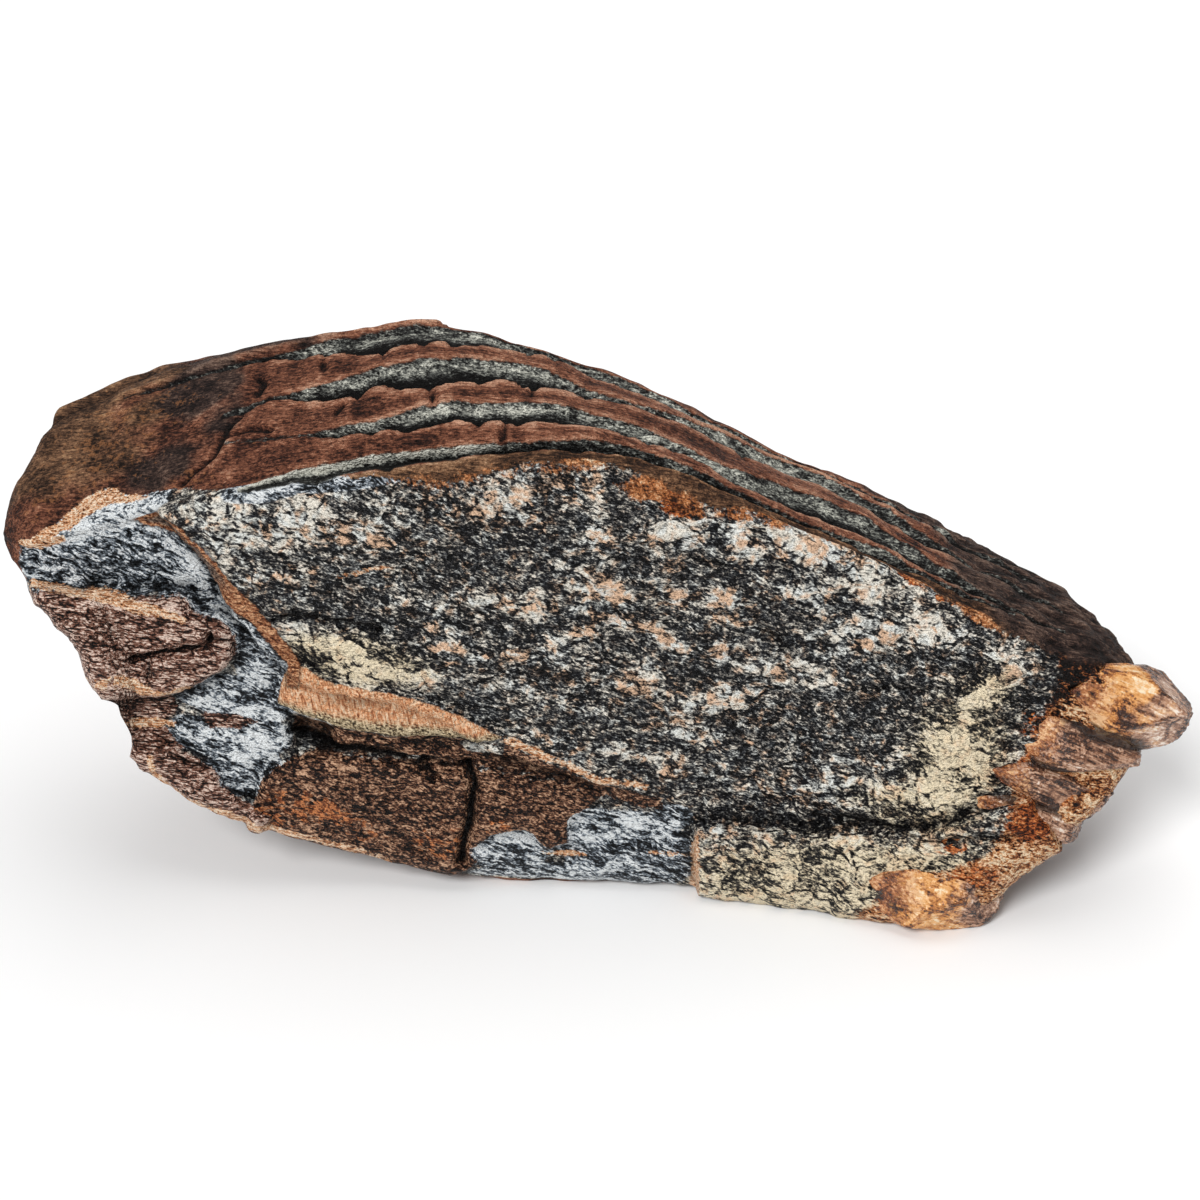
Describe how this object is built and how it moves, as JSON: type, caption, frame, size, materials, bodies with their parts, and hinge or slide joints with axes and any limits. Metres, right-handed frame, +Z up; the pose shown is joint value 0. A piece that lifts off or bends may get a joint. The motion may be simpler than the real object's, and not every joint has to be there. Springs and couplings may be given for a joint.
{
  "type": "fossil mammoth tooth",
  "caption": "Broken length of a fossil mammoth molar with ribbed plate edges, a mottled broken face and rounded finger ends, lying on a small flat spot.",
  "frame": {"origin": "middle of the bounding box, on the plane of the flat spot that the tooth rests on", "axes": "+X along the tooth from the smooth end to the finger ends, -Y out of the mottled broken face, +Z up"},
  "size_m": [0.2204, 0.0792, 0.0951],
  "materials": {
    "fossil_stone": "mottled black, grey, brown and amber mineral, partly glossy"
  },
  "bodies": {
    "root": {"mammoth_tooth": "fossil_stone"}
  },
  "joints": []
}
